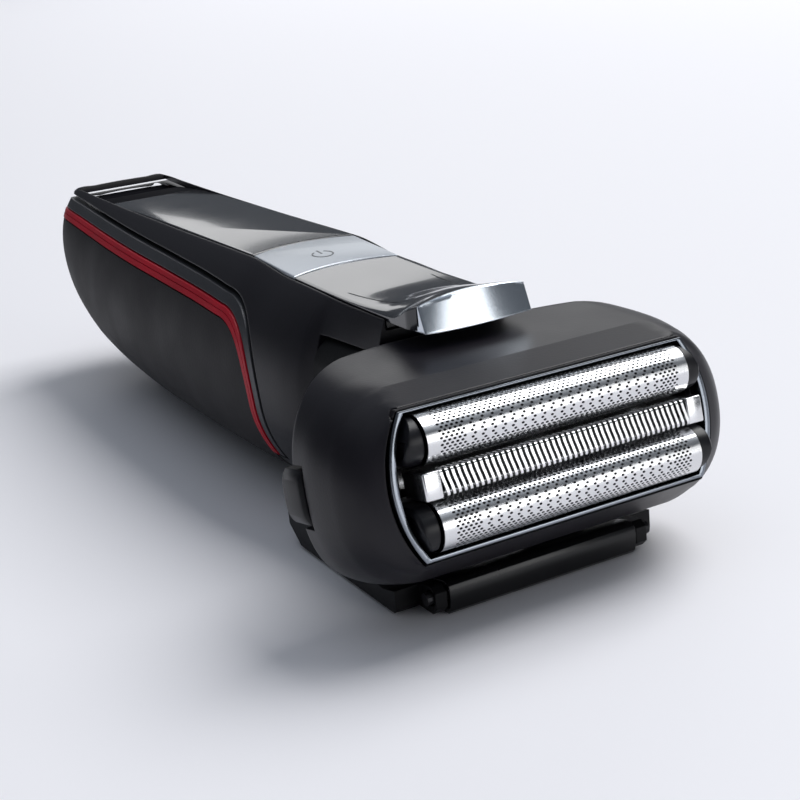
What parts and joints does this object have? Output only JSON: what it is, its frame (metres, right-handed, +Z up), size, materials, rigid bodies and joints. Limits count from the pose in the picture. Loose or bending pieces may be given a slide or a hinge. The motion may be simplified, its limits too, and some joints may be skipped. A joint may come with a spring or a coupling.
{
  "type": "foil shaver",
  "caption": "Cordless foil shaver lying on its back, with a wide cutting head, thumb panel with power button, soft side grips and a pop-up trimmer.",
  "frame": {"origin": "on the floor plane under the middle of the bounding box, with the shaver lying on its back", "axes": "+X runs along the foils, +Y runs from the foils along the handle to the charging end, +Z is up on the side with the power button"},
  "size_m": [0.0638, 0.169, 0.0398],
  "materials": {
    "shell_black": "satin, faintly violet black",
    "gloss_black": "polished",
    "dark_plastic": "fine matt",
    "grip_rubber": "fine matt",
    "boot_rubber": "matt",
    "steel": "fine brushed",
    "silver": "satin",
    "key_silver": "pearl silver",
    "dark_chrome": "mirror",
    "red_metal": "metallic lacquer",
    "copper": "lacquered copper wire",
    "board_green": "solder mask",
    "cell_wrap": "shrink sleeve"
  },
  "bodies": {
    "handle": {"battery": "cell_wrap", "battery_tab_front": "steel", "battery_tab_rear": "steel", "board_screw_1": "steel", "board_screw_2": "steel", "board_screw_3": "steel", "board_screw_4": "steel", "charging_pin_left": "steel", "charging_pin_right": "steel", "charging_socket": "dark_plastic", "chassis": "dark_plastic", "circuit_board": "board_green", "display_panel": "gloss_black", "grip_cover": "grip_rubber", "main_shell": "shell_black", "neck_boot": "boot_rubber", "nose_trim": "dark_chrome", "pivot_pin": "steel", "power_switch": "dark_plastic", "rear_shell": "dark_plastic", "stripe_left": "red_metal", "stripe_right": "red_metal", "stripe_rim_left": "gloss_black", "stripe_rim_right": "gloss_black", "thumb_rest": "gloss_black", "trimmer_mount": "dark_plastic", "trimmer_pin": "steel"},
    "head_base": {"head_base": "dark_plastic", "drive_deck": "dark_plastic", "deck_screw_left": "steel", "deck_screw_right": "steel", "stator_core": "silver", "stator_coil": "copper", "flexure_left": "steel", "flexure_right": "steel"},
    "foil_frame": {"head_frame": "shell_black", "frame_bezel": "silver", "foil_cassette": "dark_plastic"},
    "front_foil_unit": {"foil_front": "steel", "foil_holder_front": "dark_plastic"},
    "rear_foil_unit": {"foil_rear": "steel", "foil_holder_rear": "dark_plastic"},
    "slit_unit": {"slit_comb": "steel"},
    "outer_drive": {"drive_carriage_outer": "silver", "cutter_spring_front": "steel", "cutter_spring_rear": "steel"},
    "middle_drive": {"drive_carriage_middle": "silver", "cutter_spring_middle": "steel"},
    "front_cutter": {"inner_cutter_front": "steel"},
    "rear_cutter": {"inner_cutter_rear": "steel"},
    "middle_cutter": {"slit_blade": "steel"},
    "power_key": {"power_button": "key_silver"},
    "left_release": {"release_button_left": "shell_black"},
    "right_release": {"release_button_right": "shell_black"},
    "trimmer": {"trimmer_housing": "shell_black", "trimmer_comb": "steel"},
    "trimmer_cutter": {"trimmer_blade": "steel"},
    "trimmer_catch": {"trimmer_slider": "shell_black"}
  },
  "joints": [
    {"name": "head_pivot", "type": "hinge", "parent": "handle", "child": "head_base", "pos_m": [0, -0.05254, 0.02], "axis": [-1, 0, 0], "range_deg": [-2, 8], "stiffness_Nm_per_rad": 1},
    {"name": "frame_pull_off", "type": "slide", "parent": "head_base", "child": "foil_frame", "axis": [0, -0.9789, 0.2045], "range_m": [0, 0.012]},
    {"name": "front_foil_float", "type": "slide", "parent": "foil_frame", "child": "front_foil_unit", "axis": [0, 0.9789, -0.2045], "range_m": [0, 0.0012], "stiffness_N_per_m": 600, "springref_m": -0.001},
    {"name": "rear_foil_float", "type": "slide", "parent": "foil_frame", "child": "rear_foil_unit", "axis": [0, 0.9789, -0.2045], "range_m": [0, 0.0012], "stiffness_N_per_m": 600, "springref_m": -0.001},
    {"name": "slit_float", "type": "slide", "parent": "foil_frame", "child": "slit_unit", "axis": [0, 0.9789, -0.2045], "range_m": [0, 0.0012], "stiffness_N_per_m": 600, "springref_m": -0.001},
    {"name": "outer_stroke", "type": "slide", "parent": "head_base", "child": "outer_drive", "axis": [1, 0, 0], "range_m": [-0.0012, 0.0012], "stiffness_N_per_m": 2000},
    {"name": "middle_stroke", "type": "slide", "parent": "head_base", "child": "middle_drive", "axis": [1, 0, 0], "range_m": [-0.0012, 0.0012]},
    {"name": "front_cutter_float", "type": "slide", "parent": "outer_drive", "child": "front_cutter", "axis": [0, 0.9789, -0.2045], "range_m": [0, 0.0012]},
    {"name": "rear_cutter_float", "type": "slide", "parent": "outer_drive", "child": "rear_cutter", "axis": [0, 0.9789, -0.2045], "range_m": [0, 0.0012]},
    {"name": "slit_blade_float", "type": "slide", "parent": "middle_drive", "child": "middle_cutter", "axis": [0, 0.9789, -0.2045], "range_m": [0, 0.0012]},
    {"name": "power_press", "type": "slide", "parent": "handle", "child": "power_key", "axis": [0, 0, -1], "range_m": [0, 0.0008], "stiffness_N_per_m": 900, "springref_m": -0.0006},
    {"name": "left_release_press", "type": "slide", "parent": "head_base", "child": "left_release", "axis": [1, 0, 0], "range_m": [0, 0.0013], "stiffness_N_per_m": 900, "springref_m": -0.0005},
    {"name": "right_release_press", "type": "slide", "parent": "head_base", "child": "right_release", "axis": [-1, 0, 0], "range_m": [0, 0.0013], "stiffness_N_per_m": 900, "springref_m": -0.0005},
    {"name": "trimmer_flip", "type": "hinge", "parent": "handle", "child": "trimmer", "pos_m": [0, -0.07384, 0.0029], "axis": [-1, 0, 0], "range_deg": [0, 90]},
    {"name": "trimmer_stroke", "type": "slide", "parent": "trimmer", "child": "trimmer_cutter", "axis": [1, 0, 0], "range_m": [-0.001, 0.001]},
    {"name": "trimmer_catch_slide", "type": "slide", "parent": "handle", "child": "trimmer_catch", "axis": [0, -1, 0], "range_m": [0, 0.004]}
  ],
  "couplings": [
    {"joint": "middle_stroke", "follows": "outer_stroke", "ratio": -1},
    {"joint": "front_cutter_float", "follows": "front_foil_float", "ratio": 1},
    {"joint": "rear_cutter_float", "follows": "rear_foil_float", "ratio": 1},
    {"joint": "slit_blade_float", "follows": "slit_float", "ratio": 1},
    {"joint": "trimmer_catch_slide", "follows": "trimmer_flip", "m_per_rad": 0.0025464}
  ]
}
